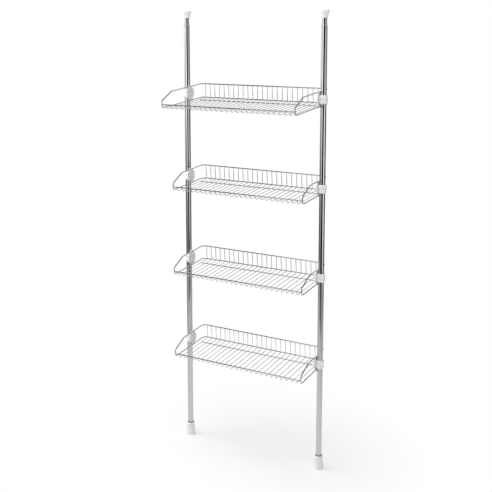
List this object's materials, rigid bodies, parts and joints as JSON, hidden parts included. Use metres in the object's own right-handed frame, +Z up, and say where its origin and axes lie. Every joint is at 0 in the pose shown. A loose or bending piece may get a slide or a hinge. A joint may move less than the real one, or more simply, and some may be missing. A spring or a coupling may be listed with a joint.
{
  "type": "shower caddy",
  "caption": "Floor-to-ceiling shower caddy: tilting chrome wire baskets carried on white clamps between twin spring-loaded telescopic poles.",
  "frame": {"origin": "floor level, at the centre of the caddy's plan bounding box", "axes": "+Z up along the poles, +X to the right along the baskets, -Y towards the open front of the baskets"},
  "size_m": [0.727, 0.3309, 2.03],
  "materials": {
    "chrome_tube": "polished",
    "chrome_rim": "polished",
    "chrome_wire": "polished",
    "trim_ring": "polished",
    "white_plastic": "gloss",
    "disc_plastic": "satin",
    "grey_plastic": "matte",
    "screw_steel": "bright zinc plated",
    "spring_steel": "drawn wire"
  },
  "bodies": {
    "root": {"left_foot": "white_plastic", "left_foot_ring": "trim_ring", "left_lower_tube": "chrome_tube", "left_tube_joiner": "grey_plastic", "left_upper_tube": "chrome_tube", "left_guide_bush": "grey_plastic", "right_foot": "white_plastic", "right_foot_ring": "trim_ring", "right_lower_tube": "chrome_tube", "right_tube_joiner": "grey_plastic", "right_upper_tube": "chrome_tube", "right_guide_bush": "grey_plastic"},
    "left_inner_pole": {"left_inner_tube": "chrome_tube", "left_spring_seat": "grey_plastic", "left_spring": "spring_steel"},
    "left_cap": {"left_top_cap": "white_plastic"},
    "right_inner_pole": {"right_inner_tube": "chrome_tube", "right_spring_seat": "grey_plastic", "right_spring": "spring_steel"},
    "right_cap": {"right_top_cap": "white_plastic"},
    "top_carrier": {"top_left_clamp": "white_plastic", "top_right_clamp": "white_plastic", "top_pivot_rivets": "white_plastic", "top_clamp_screws": "screw_steel"},
    "top_basket": {"top_basket_rim": "chrome_rim", "top_front_rail": "chrome_rim", "top_support_rail": "chrome_wire", "top_floor_wires": "chrome_wire", "top_left_disc": "disc_plastic", "top_right_disc": "disc_plastic"},
    "upper_carrier": {"upper_left_clamp": "white_plastic", "upper_right_clamp": "white_plastic", "upper_pivot_rivets": "white_plastic", "upper_clamp_screws": "screw_steel"},
    "upper_basket": {"upper_basket_rim": "chrome_rim", "upper_front_rail": "chrome_rim", "upper_support_rail": "chrome_wire", "upper_floor_wires": "chrome_wire", "upper_left_disc": "disc_plastic", "upper_right_disc": "disc_plastic"},
    "lower_carrier": {"lower_left_clamp": "white_plastic", "lower_right_clamp": "white_plastic", "lower_pivot_rivets": "white_plastic", "lower_clamp_screws": "screw_steel"},
    "lower_basket": {"lower_basket_rim": "chrome_rim", "lower_front_rail": "chrome_rim", "lower_support_rail": "chrome_wire", "lower_floor_wires": "chrome_wire", "lower_left_disc": "disc_plastic", "lower_right_disc": "disc_plastic"},
    "bottom_carrier": {"bottom_left_clamp": "white_plastic", "bottom_right_clamp": "white_plastic", "bottom_pivot_rivets": "white_plastic", "bottom_clamp_screws": "screw_steel"},
    "bottom_basket": {"bottom_basket_rim": "chrome_rim", "bottom_front_rail": "chrome_rim", "bottom_support_rail": "chrome_wire", "bottom_floor_wires": "chrome_wire", "bottom_left_disc": "disc_plastic", "bottom_right_disc": "disc_plastic"}
  },
  "joints": [
    {"name": "left_pole_extension", "type": "slide", "parent": "root", "child": "left_inner_pole", "axis": [0, 0, 1], "range_m": [0, 0.6]},
    {"name": "left_cap_spring", "type": "slide", "parent": "left_inner_pole", "child": "left_cap", "axis": [0, 0, 1], "range_m": [-0.011, 0], "stiffness_N_per_m": 4000, "springref_m": 0.015, "deforming": ["left_spring"]},
    {"name": "right_pole_extension", "type": "slide", "parent": "root", "child": "right_inner_pole", "axis": [0, 0, 1], "range_m": [0, 0.6]},
    {"name": "right_cap_spring", "type": "slide", "parent": "right_inner_pole", "child": "right_cap", "axis": [0, 0, 1], "range_m": [-0.011, 0], "stiffness_N_per_m": 4000, "springref_m": 0.015, "deforming": ["right_spring"]},
    {"name": "top_height_slide", "type": "slide", "parent": "root", "child": "top_carrier", "axis": [0, 0, 1], "range_m": [-0.07, 0.07]},
    {"name": "top_basket_tilt", "type": "hinge", "parent": "top_carrier", "child": "top_basket", "pos_m": [0, 0.06739, 1.659], "axis": [1, 0, 0], "range_deg": [-25, 20]},
    {"name": "upper_height_slide", "type": "slide", "parent": "root", "child": "upper_carrier", "axis": [0, 0, 1], "range_m": [-0.07, 0.07]},
    {"name": "upper_basket_tilt", "type": "hinge", "parent": "upper_carrier", "child": "upper_basket", "pos_m": [0, 0.06739, 1.277], "axis": [1, 0, 0], "range_deg": [-25, 20]},
    {"name": "lower_height_slide", "type": "slide", "parent": "root", "child": "lower_carrier", "axis": [0, 0, 1], "range_m": [-0.07, 0.07]},
    {"name": "lower_basket_tilt", "type": "hinge", "parent": "lower_carrier", "child": "lower_basket", "pos_m": [0, 0.06739, 0.885], "axis": [1, 0, 0], "range_deg": [-25, 20]},
    {"name": "bottom_height_slide", "type": "slide", "parent": "root", "child": "bottom_carrier", "axis": [0, 0, 1], "range_m": [-0.07, 0.07]},
    {"name": "bottom_basket_tilt", "type": "hinge", "parent": "bottom_carrier", "child": "bottom_basket", "pos_m": [0, 0.06739, 0.492], "axis": [1, 0, 0], "range_deg": [-25, 20]}
  ]
}
